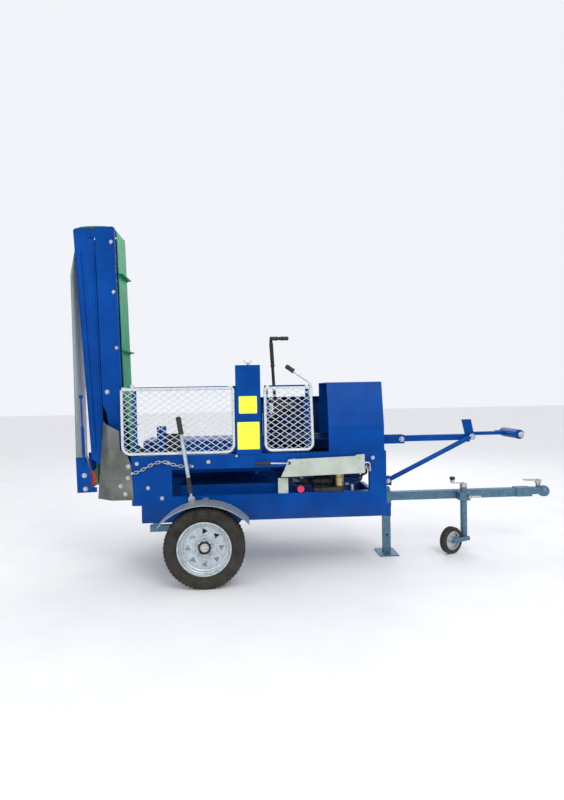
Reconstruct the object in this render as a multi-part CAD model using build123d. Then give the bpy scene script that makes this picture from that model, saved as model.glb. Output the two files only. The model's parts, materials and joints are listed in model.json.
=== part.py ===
"""Trailer firewood processor: saw, hydraulic splitter and folding conveyor. Millimetres, +Z up, +X to the towbar."""
from build123d import *
import math
import os

os.makedirs("parts", exist_ok=True)

# Driving dimensions
GAP = 0.5                      # air between bodies that pass each other
PIN_FIT = 0.05                 # radial clearance of a pin in its hole
SHEET = 5.0                    # frame plate
BODY_Y = 500.0                 # half width of the frame
BODY_LEFT, BODY_RIGHT = -1521.0, 404.0
BEAM_LOW, BEAM_HIGH = 416.0, 610.0
DECK_LOW, DECK_HIGH = 811.0, 916.0
LINE_Y = -200.0                # centre of the log line
AXLE_X, WHEEL_R, WHEEL_Y = -972.0, 288.0, 722.0
TYRE_W = 156.0
RIM_R = 186.0
SPINDLE_R = 16.0
FENDER_R, FENDER_T = 427.0, 3.0
BAR = 70.0                     # square drawbar
BAR_Z = 470.0
BAR_END = 1725.0
NOSE_X = 1973.1
LEG_X, LEG_Y, LEG_W = 505.0, -72.0, 60.0
STRUT_Y = -257.0
JOCKEY_X, JOCKEY_Y = 1173.0, -84.0
JOCKEY_R, JOCKEY_TRAIL = 111.0, 155.0
JOCKEY_TURN = 207.0            # direction of the trailing fork, degrees from +X
BASE_X, BASE_Z = -1590.0, 750.0      # tail drum, about which the conveyor leans out
FOLD_X, FOLD_Z = -1763.0, 2600.0     # fold pin, before the lean
HEAD_X, HEAD_Z = -1865.0, 735.0      # drive drum of the folded half, before the lean
LEAN = -1.3                          # folded conveyor's lean from upright, degrees
BELT_HALF, BELT_T = 150.0, 5.0
OUTER_HALF = 180.0                   # half width over the lower half's side plates
INNER_HALF = 173.0                   # half width over the upper half's side plates
FLIGHT_PITCH = 587.0
SAW_X = -455.0
SAW_PIVOT = (SAW_X, 130.0, 1150.0)
CYL_Z = 868.0
LINK_END, LINK_WIRE, LINK_PITCH = 9.0, 3.0, 29.0


def block(x0, x1, y0, y1, z0, z1):
    """A box given by its two corners."""
    centre = Pos((x0 + x1) / 2, (y0 + y1) / 2, (z0 + z1) / 2)
    return centre * Box(x1 - x0, y1 - y0, z1 - z0)


def rod(start, axis, radius, length):
    """A round bar from start, along X, Y or Z, or against it when the length is negative."""
    low = Vector(*start) + Vector(*AXES[axis]) * min(length, 0)
    turn = {"x": Rot(0, 90, 0), "y": Rot(-90, 0, 0), "z": Rot(0, 0, 0)}[axis]
    body = Cylinder(radius, abs(length), align=(Align.CENTER, Align.CENTER, Align.MIN))
    return Pos(low.X, low.Y, low.Z) * turn * body


AXES = {"x": (1, 0, 0), "y": (0, 1, 0), "z": (0, 0, 1)}


def ring(start, axis, outer, inner, length):
    """A round tube."""
    longer = Vector(*start) - Vector(*AXES[axis]) * math.copysign(1, length)
    return rod(start, axis, outer, length) - rod(tuple(longer), axis, inner, length + math.copysign(2, length))


def plate_xz(points, y0, y1):
    """A flat plate with its outline in X and Z, between two Y planes."""
    face = make_face(Polyline(*[(x, y0, z) for x, z in points], close=True).edges())
    return extrude(face, amount=y1 - y0, dir=(0, 1, 0))


def plate_yz(points, x0, x1):
    """A flat plate with its outline in Y and Z, between two X planes."""
    face = make_face(Polyline(*[(x0, y, z) for y, z in points], close=True).edges())
    return extrude(face, amount=x1 - x0, dir=(1, 0, 0))


def bent_rod(points, bend, radius):
    """A round bar along straight runs with rounded corners."""
    path = FilletPolyline(*points, radius=bend)
    start = Plane(origin=path @ 0, z_dir=path % 0)
    return sweep(start * Circle(radius), path=path)


def link_bar(start, end, radius):
    """A straight round bar between two points."""
    path = Line(start, end)
    return sweep(Plane(origin=path @ 0, z_dir=path % 0) * Circle(radius), path=path)


def hexagon(start, axis, across, length):
    """A hexagon bolt head or nut."""
    turn = {"x": Rot(0, 90, 0), "y": Rot(-90, 0, 0), "z": Rot(0, 0, 0)}[axis]
    return Pos(*start) * turn * extrude(RegularPolygon(across / 2, 6, major_radius=False), amount=length)


def both_sides(solid):
    """A solid and its mirror image across the centre plane."""
    return [solid, mirror(solid, about=Plane.XZ)]


def save(name, *solids):
    """Write one node, as one solid or as a group of separate solids."""
    shape = solids[0] if len(solids) == 1 else Compound(children=list(solids))
    export_step(shape, f"parts/{name}.step")


def fuse(solids):
    """Weld a list of solids into one."""
    whole = solids[0]
    for solid in solids[1:]:
        whole = whole + solid
    return whole


# Frame
def channel_pair(x0, x1, z0, z1, flange):
    """Two C-shaped side beams, open to the inside."""
    outer = block(x0, x1, -BODY_Y, -BODY_Y + flange, z0, z1)
    inside = block(x0 - 1, x1 + 1, -BODY_Y + SHEET, -BODY_Y + flange + 1, z0 + SHEET, z1 - SHEET)
    return both_sides(outer - inside)


def main_frame():
    pieces = channel_pair(-1451, BODY_RIGHT, BEAM_LOW, BEAM_HIGH, 60)
    pieces += channel_pair(BODY_LEFT, BODY_RIGHT, DECK_LOW, DECK_HIGH, 70)
    pieces += both_sides(block(BODY_LEFT, -1224, -BODY_Y, -BODY_Y + SHEET, 548, DECK_LOW + 1))
    pieces += both_sides(block(276, BODY_RIGHT, -BODY_Y, -BODY_Y + 60, BEAM_HIGH - 1, DECK_LOW + 1))
    for x in (-1446, -1060, 344):
        pieces.append(block(x, x + 60, -BODY_Y + 1, BODY_Y - 1, BEAM_LOW, BEAM_LOW + 20))
    pieces.append(block(BODY_RIGHT - 1, 436, -BODY_Y, BODY_Y, 411, 513))
    pieces.append(block(276, 326, -BODY_Y + 1, BODY_Y - 1, DECK_LOW, DECK_LOW + 16))
    pieces.append(block(-1290, -1240, -BODY_Y + 1, BODY_Y - 1, 700, 716))
    pieces.append(block(-1229, -1224, -BODY_Y + 1, -410, BEAM_HIGH - 1, DECK_LOW + 1))
    pieces.append(block(-1225, -230, BODY_Y - SHEET, BODY_Y, BEAM_HIGH - 1, DECK_LOW + 1))
    return fuse(pieces) - rod((-345, -BODY_Y - 1, 845), "y", 20, 8)


def oil_tank():
    outer = block(-1180, -200, -330, 330, 440, 665)
    tank = outer - block(-1176, -204, -326, 326, 444, 661)
    neck = ring((-256, -329, 637), "y", 20, 15, -131)
    return tank - rod((-256, -320, 637), "y", 15, -20) + neck


def filler_cap():
    cap = rod((-256, -460.5, 637), "y", 26, -44) - rod((-256, -459, 637), "y", 20 + GAP, -30)
    return fillet(cap.edges().filter_by(GeomType.CIRCLE).sort_by(Axis.Y)[0], 4)


def axle_beam():
    beam = block(AXLE_X - 30, AXLE_X + 30, -620, 620, 258, 318)
    pieces = [beam] + both_sides(rod((AXLE_X, -619, WHEEL_R), "y", SPINDLE_R, -125))
    pieces += both_sides(block(AXLE_X - 60, AXLE_X + 60, -490, -450, 317, BEAM_LOW - 0.2))
    return fuse(pieces)


def fender():
    centre_z = 602 - FENDER_R
    shell = ring((AXLE_X, -830, centre_z), "y", FENDER_R, FENDER_R - FENDER_T, 230)
    shell = shell & block(AXLE_X - 320, AXLE_X + 320, -831, -599, 440, 700)
    stay = block(AXLE_X - 20, AXLE_X + 20, -602, -BODY_Y - 0.2, 575, 597.5)
    return shell + stay


def drawbar():
    tube = block(447, BAR_END, -BAR / 2, BAR / 2, BAR_Z - BAR / 2, BAR_Z + BAR / 2)
    tube -= block(460, BAR_END + 1, -BAR / 2 + 5, BAR / 2 - 5, BAR_Z - BAR / 2 + 5, BAR_Z + BAR / 2 - 5)
    flange = block(436.2, 448, -110, 110, 412, 528)
    sleeve = block(LEG_X - 37, LEG_X + 37, LEG_Y - 37, -BAR / 2 + 1, 400, 530)
    hole = LEG_W / 2 + GAP
    sleeve -= block(LEG_X - hole, LEG_X + hole, LEG_Y - hole, LEG_Y + hole, 399, 531)
    return tube + flange + sleeve


def support_leg():
    half = LEG_W / 2
    tube = block(LEG_X - half, LEG_X + half, LEG_Y - half, LEG_Y + half, 9, 560)
    tube -= block(LEG_X - half + 5, LEG_X + half - 5, LEG_Y - half + 5, LEG_Y + half - 5, 11, 561)
    tube -= rod((LEG_X, LEG_Y - half - 1, 160), "y", 9, LEG_W + 2)
    foot = block(LEG_X - 80, LEG_X + 80, LEG_Y - 110, LEG_Y + 110, 0, 10)
    return tube + foot


def coupling_head():
    high = BAR_Z + BAR / 2 + 0.2
    saddle = block(1660, 1800, -44, 44, BAR_Z - 36, high + 6)
    saddle -= block(1659, BAR_END + 1, -BAR / 2 - 0.2, BAR / 2 + 0.2, BAR_Z - 37, high)
    nose = Pos(NOSE_X - 50, 0, BAR_Z) * Sphere(50)
    neck = block(1790, NOSE_X - 50, -36, 36, BAR_Z - 20, BAR_Z + 36)
    head = saddle + nose + neck + block(1858, 1892, -10, 10, BAR_Z + 30, 556)
    head -= Pos(NOSE_X - 50, 0, BAR_Z - 10) * Sphere(25.5)
    head -= rod((NOSE_X - 50, 0, BAR_Z - 61), "z", 25.5, 51)
    return head - rod((1875, -11, 538), "y", 6, 22)


def coupling_handle():
    cheek = plate_xz([(1862, 526), (1890, 526), (1900, 574), (1744, 578), (1744, 566), (1850, 560)], -15, -10.5)
    cheeks = cheek + mirror(cheek, about=Plane.XZ) + block(1744, 1846, -15, 15, 567, 577)
    return cheeks - rod((1875, -20, 538), "y", 6 + PIN_FIT, 40)


# Wheels, built on the near side and mirrored for the far one
def rim():
    side = -WHEEL_Y
    barrel = ring((AXLE_X, side - 70, WHEEL_R), "y", RIM_R, RIM_R - 5, 140)
    for y in (side - 74, side + 68):
        barrel += ring((AXLE_X, y, WHEEL_R), "y", RIM_R + 6, RIM_R - 5, 6)
    disc = rod((AXLE_X, side - 26, WHEEL_R), "y", RIM_R - 4, 8) - rod((AXLE_X, side - 27, WHEEL_R), "y", 34, 10)
    for step in range(8):
        angle = math.radians(45 * step)
        centre = (AXLE_X + 118 * math.cos(angle), side - 27, WHEEL_R + 118 * math.sin(angle))
        turn = 90 - 45 * step + (180 if step % 2 else 0)
        window = extrude(RegularPolygon(26, 3), amount=10)
        disc -= Pos(*centre) * Rot(-90, 0, 0) * Rot(0, 0, turn) * window
    for step in range(4):
        angle = math.radians(45 + 90 * step)
        spot = (AXLE_X + 55 * math.cos(angle), side - 27, WHEEL_R + 55 * math.sin(angle))
        disc -= rod(spot, "y", 7, 10)
    return barrel + disc


def tyre():
    half = TYRE_W / 2
    inner = RIM_R + 0.4
    profile = Polyline((inner, -66), (inner + 40, -half), (WHEEL_R - 22, -half + 4), (WHEEL_R - 6, -half + 16),
                       (WHEEL_R, -half + 34), (WHEEL_R, half - 34), (WHEEL_R - 6, half - 16),
                       (WHEEL_R - 22, half - 4), (inner + 40, half), (inner, 66), close=True)
    section = Plane.XY * make_face(profile.edges())
    return Pos(AXLE_X, -WHEEL_Y, WHEEL_R) * revolve(section, Axis.Y, 360)


def hub():
    side = -WHEEL_Y
    barrel = rod((AXLE_X, side - 17.8, WHEEL_R), "y", 72, 16) + rod((AXLE_X, side - 40, WHEEL_R), "y", 33, 110)
    barrel -= rod((AXLE_X, side - 28, WHEEL_R), "y", SPINDLE_R + PIN_FIT, 150)
    nuts = []
    for step in range(4):
        angle = math.radians(45 + 90 * step)
        spot = (AXLE_X + 55 * math.cos(angle), side - 38, WHEEL_R + 55 * math.sin(angle))
        nuts.append(hexagon(spot, "y", 19, 11.8))
    return [fillet(barrel.edges().filter_by(GeomType.CIRCLE).sort_by(Axis.Y)[0], 6)] + nuts


def save_wheels():
    save("near_wheel_rim", rim())
    save("near_wheel_tyre", tyre())
    save("near_wheel_hub", *hub())
    save("far_wheel_rim", mirror(rim(), about=Plane.XZ))
    save("far_wheel_tyre", mirror(tyre(), about=Plane.XZ))
    save("far_wheel_hub", *[mirror(piece, about=Plane.XZ) for piece in hub()])


# Jockey wheel
def jockey_place(shape):
    """Turn a jockey piece, drawn with its fork along +X, into its trailing direction."""
    return Pos(JOCKEY_X, JOCKEY_Y, 0) * Rot(0, 0, JOCKEY_TURN) * shape


def jockey_clamp():
    body = block(JOCKEY_X - 44, JOCKEY_X + 44, JOCKEY_Y - 40, -BAR / 2 - 0.2, 432, 502)
    body -= rod((JOCKEY_X, JOCKEY_Y, 431), "z", 28 + PIN_FIT, 72)
    return body - rod((JOCKEY_X + 30, JOCKEY_Y - 41, 467), "y", 7, 30)


def clamp_handle():
    screw = rod((JOCKEY_X + 30, JOCKEY_Y - 18, 467), "y", 7 - PIN_FIT, -42)
    bar = rod((JOCKEY_X + 30, JOCKEY_Y - 62, 467), "x", 8, 96) + rod((JOCKEY_X + 30, JOCKEY_Y - 48, 467), "y", 13, -26)
    return screw + bar


def jockey_tube():
    return ring((JOCKEY_X, JOCKEY_Y, 130), "z", 28, 24.3, 414)


def jockey_fork():
    stem = rod((0, 0, 118), "z", 24.25, 300) - rod((0, 0, 200), "z", 12, 230)
    arms = [block(-20, JOCKEY_TRAIL + 22, side - 3, side + 3, 92, 130) for side in (-38, 38)]
    crown = block(-28, 22, -41, 41, 92, 119)
    pin = rod((JOCKEY_TRAIL, -46, JOCKEY_R), "y", 8, 92)
    return jockey_place(fuse([stem, crown, pin] + arms))


def jockey_rim():
    hub_tube = ring((JOCKEY_TRAIL, -30, JOCKEY_R), "y", 22, 8 + PIN_FIT, 60)
    disc = ring((JOCKEY_TRAIL, -4, JOCKEY_R), "y", 74, 21, 8)
    band = ring((JOCKEY_TRAIL, -24, JOCKEY_R), "y", 76, 70, 48)
    return jockey_place(hub_tube + disc + band)


def jockey_tyre():
    band = ring((JOCKEY_TRAIL, -27, JOCKEY_R), "y", JOCKEY_R, 76.3, 54)
    rims = band.edges().filter_by(GeomType.CIRCLE).sort_by(lambda edge: -edge.radius)[0:2]
    return jockey_place(fillet(rims, 14))


def jockey_crank():
    cap = rod((JOCKEY_X, JOCKEY_Y, 544.5), "z", 30, 30)
    arm = block(JOCKEY_X - 104, JOCKEY_X + 8, JOCKEY_Y - 8, JOCKEY_Y + 8, 574, 582)
    pin = rod((JOCKEY_X - 96, JOCKEY_Y, 580), "z", 5, 44)
    return cap + arm + pin


def jockey_knob():
    knob = rod((JOCKEY_X - 96, JOCKEY_Y, 585), "z", 18, 45) - rod((JOCKEY_X - 96, JOCKEY_Y, 584), "z", 5 + PIN_FIT, 41)
    return fillet(knob.edges().filter_by(GeomType.CIRCLE).sort_by(Axis.Z)[-1], 6)


# Splitting line
def splitting_trough():
    low, wall = 756.0, 6.0
    floor = plate_yz([(-400, 930), (-300, low), (-100, low), (0, 985), (-6, 985), (-104, low + wall),
                      (-296, low + wall), (-394, 930)], -1515, -478)
    feet = [block(x, x + 30, -296, -104, low - 22, low + 1) for x in (-1400, -600)]
    ledges = block(-1515, -478, -420, -393, 924, 930) + block(-1515, -522, -7, 430, 979, 985)
    far_wall = block(-1515, -522, 425, 430, 917, 985)
    return fuse([floor, ledges, far_wall] + feet)


def cylinder_barrel():
    tube = ring((-440, LINE_Y, CYL_Z), "x", 45, 36, 600)
    caps = rod((160, LINE_Y, CYL_Z), "x", 50, 24) + ring((-452, LINE_Y, CYL_Z), "x", 50, 22 + PIN_FIT, 24)
    ports = rod((-400, LINE_Y, CYL_Z + 40), "z", 11, 22) + rod((120, LINE_Y, CYL_Z + 40), "z", 11, 22)
    return tube + caps + ports


def ram_rod():
    return rod((-494, LINE_Y, CYL_Z), "x", 22, 560) + rod((40, LINE_Y, CYL_Z), "x", 35.9, 40)


def push_plate():
    points = [(LINE_Y - 88, 768), (LINE_Y + 88, 768), (LINE_Y + 120, 880), (LINE_Y + 120, 950),
              (LINE_Y - 120, 950), (LINE_Y - 120, 880)]
    return plate_yz(points, -514, -494)


def splitting_wedge():
    blade = block(-1300, -1200, LINE_Y - 8, LINE_Y + 8, 775, 1060)
    edge = Pos(-1200, LINE_Y, 917.5) * Rot(0, 0, 45) * Box(11.3, 11.3, 285)
    wings = [block(-1290, -1210, LINE_Y - 90, LINE_Y + 90, 884, 896)]
    return blade + edge + fuse(wings)


def wedge_guide():
    post = block(-1370, -1301, LINE_Y - 30, LINE_Y + 30, 763, 1120)
    return post - block(-1345, -1300, LINE_Y - 12, LINE_Y + 12, 770, 1121)


def wedge_lever():
    pivot = (-1074, -520, 600)
    low = link_bar((pivot[0], -560, pivot[2] - 6), (-1088, -560, 720), 9)
    tube = link_bar((-1086, -560, 702), (-1141, -560, 1080), 14)
    boss = ring((pivot[0], -574, pivot[2]), "y", 24, 10 + PIN_FIT, 28)
    lever = low + tube + boss
    return lever - rod((pivot[0], -580, pivot[2]), "y", 10 + PIN_FIT, 40)


def wedge_lever_grip():
    return link_bar((-1141.3, -560, 1081), (-1160, -560, 1206), 17)


# Saw
def saw_arm():
    x, y, z = SAW_PIVOT
    boss = ring((x - 20, y, z), "x", 34, 12 + PIN_FIT, 80)
    housing = block(x + 12, x + 92, y - 150, y + 40, z + 36, z + 170) + block(x + 12, x + 50, y - 30, y + 24, z - 20, z + 40)
    shaft = rod((x - 8, y - 80, z + 90), "x", 14, 60)
    lever = link_bar((x + 40, y - 100, z + 160), (x + 8, LINE_Y + 60, 1800), 13)
    motor = rod((x + 91, y - 80, z + 90), "x", 48, 110)
    arm = boss + housing + shaft + lever + motor
    return arm - rod((x - 25, y, z), "x", 12 + PIN_FIT, 130)


def saw_hinge_pin():
    """The saw's hinge pin and its stand on the deck."""
    x, y, z = SAW_PIVOT
    stand = block(x - 60, x - 50, y - 40, y + 293, DECK_HIGH + 0.2, z + 40) + rod((x - 51, y, z), "x", 12, 150)
    return stand


def saw_bar():
    x, y, z = SAW_PIVOT
    root, tip = y - 50, y - 560
    face = block(x - 4.5, x + 1.5, tip + 40, root, z + 55, z + 125)
    nose = rod((x - 4.5, tip + 40, z + 90), "x", 35, 6)
    return (face + nose) - rod((x - 10, y - 80, z + 90), "x", 14 + PIN_FIT, 20)


def saw_chain():
    x, y, z = SAW_PIVOT
    root, tip = y - 50, y - 560
    outer = block(x - 6, x + 3, tip + 40, root, z + 46, z + 134) + rod((x - 6, tip + 40, z + 90), "x", 44, 9)
    inner = block(x - 7, x + 4, tip + 40, root + 1, z + 55.2, z + 124.8) + rod((x - 7, tip + 40, z + 90), "x", 35.2, 11)
    return outer - inner


def saw_lever_grip():
    return rod((SAW_X + 2, LINE_Y + 60, 1814), "x", 14, 146)


# Guards: bent tube frames with an expanded-metal sheet
def guard_sheet(x0, x1, z0, z1):
    sheet = block(x0, x1, -502, -498, z0, z1)
    return fillet(sheet.edges().filter_by(Axis.Y).sort_by(Axis.Z)[0:2], 52)


def guard_outline(x0, x1, z0, z1):
    path = [(x0, -500, z1), (x0, -500, z0), (x1, -500, z0), (x1, -500, z1)]
    return bent_rod(path, 60, 11)


def left_guard_frame():
    frame = guard_outline(-1580, -756, 934, 1412)
    ears = [block(x - 14, x + 14, -511, -440, 1406, 1432) for x in (-1560, -776)]
    knob = rod((-1500, -500, 1426), "z", 14, 26)
    body = fuse([frame, block(-1580, -756, -505, -495, 1406, 1426), knob] + ears)
    body -= block(-1600, -700, -450 - 6 - PIN_FIT, -450 + 6 + PIN_FIT, 1400, 1418)
    return body - rod((-1600, -450, 1418), "x", 6 + PIN_FIT, 900)


def right_guard_frame():
    path = [(-516, -500, 1412), (-516, -500, 940), (-158, -500, 940), (-170, -500, 1446), (-296, -500, 1534)]
    frame = bent_rod(path, 50, 11)
    ears = [block(x - 12, x + 12, -511, -440, 1400, 1432) for x in (-496, -200)]
    body = fuse([frame, block(-516, -180, -505, -495, 1400, 1420)] + ears)
    return body - rod((-540, -450, 1418), "x", 6 + PIN_FIT, 400)


def right_guard_grip():
    return link_bar((-297, -500, 1534.7), (-352, -500, 1573), 15)


def guard_posts():
    """The rail and stands that carry the guards' hinge pins, and the pins themselves."""
    rail = [block(-1594, -736, -431, -421, 1404, 1432), block(-520, -176, -431, -421, 1404, 1432)]
    stands = [block(x - 15, x + 15, -431, -421, DECK_HIGH + 0.2, 1406) for x in (-1500, -744, -506, -190)]
    lugs = [block(x - 5, x + 5, -462, -421, 1404, 1432) for x in (-1588, -750, -515, -181)]
    left = rail[0] + stands[0] + stands[1] + lugs[0] + lugs[1]
    right = rail[1] + stands[2] + stands[3] + lugs[2] + lugs[3]
    left += rod((-1590, -450, 1418), "x", 6, 850)
    right += rod((-518, -450, 1418), "x", 6, 340)
    return [left, right]


def control_post():
    shell = block(-738, -550, -508, -460, 931, 1586) - block(-734, -554, -504, -459, 930, 1582)
    foot = block(-738, -550, -508, -460, DECK_HIGH + 0.2, 932)
    hood_pin = rod((-641, -486, 1585), "z", 6, 22)
    return shell + foot + hood_pin


def wing_nut():
    boss = ring((-641, -486, 1590), "z", 14, 6 + PIN_FIT, 14)
    wings = [plate_xz([(-641 + s * 10, 1592), (-641 + s * 34, 1616), (-641 + s * 30, 1626), (-641 + s * 10, 1604)],
                      -489, -483) for s in (-1, 1)]
    return boss + wings[0] + wings[1]


# Infeed
def infeed_hood():
    points = [(-500, 927), (-500, 1112), (-432, 1446), (34, 1446), (34, 935), (30, 935), (30, 1442),
              (-428.5, 1442), (-496, 1111.5), (-496, 927)]
    hood = plate_yz(points, -37, 391)
    foot = block(-37, 391, -500, -470, DECK_HIGH + 0.2, 930)
    bearings = ring((140, -449, 1330), "y", 24, 12 + PIN_FIT, 22) + ring((140, 6, 1330), "y", 24, 12 + PIN_FIT, 25)
    return hood + foot + bearings


def infeed_bed():
    bed = plate_yz([(-420, 1015), (-330, 960), (-70, 960), (20, 1015), (20, 1009), (-69, 953), (-331, 953), (-420, 1009)],
                   -330, 402)
    legs = [block(x, x + 20, y, y + 20, DECK_HIGH + 1, 954) for x in (-300, 380) for y in (-300, -120)]
    cross = [block(x, x + 20, -468, 468, DECK_HIGH + 0.3, DECK_HIGH + 18) for x in (-300, 380)]
    return fuse([bed] + legs + cross)


def feed_roller():
    drum = rod((140, -330, 1330), "y", 62, 262)
    ribs = []
    for step in range(8):
        rib = block(134, 146, -328, -70, 1388, 1402)
        ribs.append(Pos(140, 0, 1330) * Rot(0, 45 * step, 0) * Pos(-140, 0, -1330) * rib)
    shaft = rod((140, -440, 1330), "y", 12, 462)
    return fuse([drum, shaft] + ribs)


def rear_panel():
    return block(-540, 120, 424, 429, 985.3, 1330) + block(-540, 120, 330, 429, 1325, 1330)


def infeed_bracket():
    cheeks = [block(BODY_RIGHT + 0.2, 626, y, y + 6, 940, 1010) for y in (-232, -174)]
    back = block(BODY_RIGHT + 0.2, 412, -300, -100, 820, 950) + block(BODY_RIGHT + 0.2, 412, -232, -168, 940, 1010)
    pin = rod((602, -236, 975), "y", 10, 72)
    low_lugs = [block(436.2, 500, y, y + 6, 610, 680) for y in (STRUT_Y - 29, STRUT_Y + 23)]
    low_back = block(436.2, 444, STRUT_Y - 29, STRUT_Y + 29, 514, 690)
    foot = block(405, 444, STRUT_Y - 29, STRUT_Y + 29, 513.2, 525)
    low_pin = rod((472, STRUT_Y - 33, 645), "y", 8, 66)
    return [fuse(cheeks + [back, pin]), fuse(low_lugs + [low_back, foot, low_pin])]


def infeed_arm():
    arm = block(580, 1170, -225, -175, 955, 1003) - block(579, 1171, -220, -180, 960, 998)
    eye = ring((602, -225.5, 975), "y", 24, 10 + PIN_FIT, 51)
    arm = (arm + eye) - rod((602, -240, 975), "y", 10 + PIN_FIT, 80)
    bar = block(1150, 1482, -214, -186, 992, 1020)
    horn = plate_xz([(1136, 985), (1212, 985), (1184, 1126), (1104, 1126)], -232, -225.2)
    yoke = block(1470, 1482, -350, -50, 988, 1016)
    ends = [block(1470, 1552, y, y + 8, 988, 1016) for y in (-358, -50)]
    axle = rod((1540, -366, 1002), "y", 9, 332)
    link = block(1150, 1176, -226, -174, 940, 1000)
    return fuse([arm, bar, horn, yoke, link, axle] + ends)


def infeed_roller():
    roller = ring((1540, -344, 1002), "y", 38, 9 + PIN_FIT, 288)
    return fillet(roller.edges().filter_by(GeomType.CIRCLE).sort_by(lambda edge: -edge.radius)[0:2], 4)


def infeed_strut():
    tube = link_bar((484, STRUT_Y, 651), (1172, STRUT_Y, 985), 19)
    eye = ring((472, STRUT_Y - 19.5, 645), "y", 22, 8 + PIN_FIT, 39)
    top = rod((1176, STRUT_Y - 14, 987), "y", 27, 28) - rod((1176, STRUT_Y - 15, 987), "y", 9, 30)
    return (tube + eye + top) - rod((472, STRUT_Y - 40, 645), "y", 8 + PIN_FIT, 80)


# Hydraulics
def valve_cover():
    points = [(-408, 742), (-350, 742), (228, 756), (228, 899), (160, 895), (160, 886), (-352, 872), (-372, 820)]
    cover = plate_xz(points, -545, -541)
    flanges = [block(-330, -290, -541.5, -500.2, 868, 872), block(120, 160, -541.5, -500.2, 868, 872)]
    return cover + flanges[0] + flanges[1] - rod((-345, -550, 845), "y", 12, 20)


def valve_block():
    body = block(-330, -60, -420, -350, 790, 870)
    spools = [rod((-300 + 60 * i, -419, 830), "y", 14, -30) for i in range(4)]
    return fuse([body, block(-330, -60, -360, -300, 870, 886)] + spools)


def valve_lever():
    shaft = bent_rod([(-345, -430, 845), (-345, -560, 845), (-490, -560, 849)], 30, 6)
    return shaft + rod((-345, -428, 845), "y", 16, -18)


def valve_lever_grip():
    return rod((-488, -560, 849), "x", 12, -108)


def pump_gearbox():
    pump = block(-160, 20, -360, -230, 640, 740) + rod((20, -295, 690), "x", 44, 90)
    gearbox = block(-130, 60, 230, 400, 640, 800)
    shaft = rod((-35, 399, 720), "y", 17.5, 90) + rod((-35, -232, 690), "y", 15, 464)
    feet = [block(-150, 80, y, y + 40, 610.2, 641) for y in (-480, 440)]
    base = block(-150, 80, -481, 481, 632, 641)
    return fuse([pump, gearbox, shaft, base] + feet)


def hydraulic_hoses():
    routes = [[(-300, -395, 789), (-300, -395, 720), (-230, -370, 675), (-185, -340, 670), (-161, -340, 670)],
              [(-240, -395, 789), (-240, -395, 740), (-200, -350, 715), (-161, -350, 715)],
              [(-110, -395, 789), (-110, -395, 765), (-90, -330, 765), (-90, -330, 741)],
              [(262, -440, 800), (262, -440, 740), (190, -380, 690), (140, -295, 690), (111, -295, 690)]]
    return [bent_rod(route, 14, 9) for route in routes]


# Chute and safety chain
def across_line(solid):
    """The same piece on the other side of the log line."""
    return mirror(solid, about=Plane.XZ.offset(-LINE_Y))


def chute():
    side = plate_xz([(-1690, 1158), (-1604, 1111), (-1600, 970), (-1543, 916), (-1522, 856), (-1506, 594),
                     (-1667, 594)], -505, -500.3)
    front = Wire.make_polygon([(-1690, -505, 1158), (-1690, -500.3, 1158), (-1667, -500.3, 594),
                               (-1667, -505, 594)], close=True)
    back = Wire.make_polygon([(-1742, -402, 1180), (-1738, -398, 1180), (-1788, -398, 594),
                              (-1792, -402, 594)], close=True)
    wing = loft([Face(front), Face(back)], ruled=True)
    near = side + wing
    floor = block(-1660, -1524, -501, 101, 594, 599)
    return fuse([near, across_line(near), floor])


def base_pins():
    """The two pins that the conveyor leans out about."""
    near = rod((BASE_X, -500.2, BASE_Z), "y", 15, 190)
    return [near, across_line(near)]


def chain_link(centre, direction, flat):
    """One closed link lying along direction, flat or on edge."""
    half = LINK_END
    path = SlotOverall(4 * half, 2 * half).wire()
    start = Plane(origin=path @ 0, z_dir=path % 0)
    link = sweep(start * Circle(LINK_WIRE), path=path)
    return Pos(*centre) * Rot(0, -direction, 0) * Rot(90 if flat else 0, 0, 0) * link


def safety_chain():
    route = Spline((-1497, -517, 797), (-1441, -517, 818), (-1379, -517, 850), (-1276, -517, 874),
                   (-1200, -517, 850), (-1137, -517, 838), (-1080, -517, 838))
    count = int(route.length // LINK_PITCH)
    links = []
    for index in range(count):
        where = (index + 0.5) / count
        spot, along = route @ where, route % where
        links.append(chain_link(tuple(spot), math.degrees(math.atan2(along.Z, along.X)), index % 2 == 0))
    return links


def frame_bolts():
    bolts = []
    for x, z in ((-1541, 845), (-1567, 641)):
        bolts.append(hexagon((x, -511, z), "y", 19, 5.8))
    for x, z in ((-1510, 797), (-1066, 838)):
        bolts.append(rod((x, -500.2, z), "y", 5, -30) + rod((x, -527, z), "y", 9, -4))
    bolts.append(hexagon((-738, -512, 905), "y", 17, 11.8))
    bolts.append(rod((-1074, -500.2, 600), "y", 10, -80) + rod((-1074, -576, 600), "y", 18, -5))
    return bolts


# Folding conveyor: built upright, then leaned back about the tail drum
def leaned(shape):
    return Pos(BASE_X, 0, BASE_Z) * Rot(0, LEAN, 0) * Pos(-BASE_X, 0, -BASE_Z) * shape


def across(x0, x1, half_out, half_in, z0, z1):
    """Two flat side plates, each side of the conveyor."""
    near = block(x0, x1, LINE_Y - half_out, LINE_Y - half_in, z0, z1)
    return [near, across_line(near)]


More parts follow.
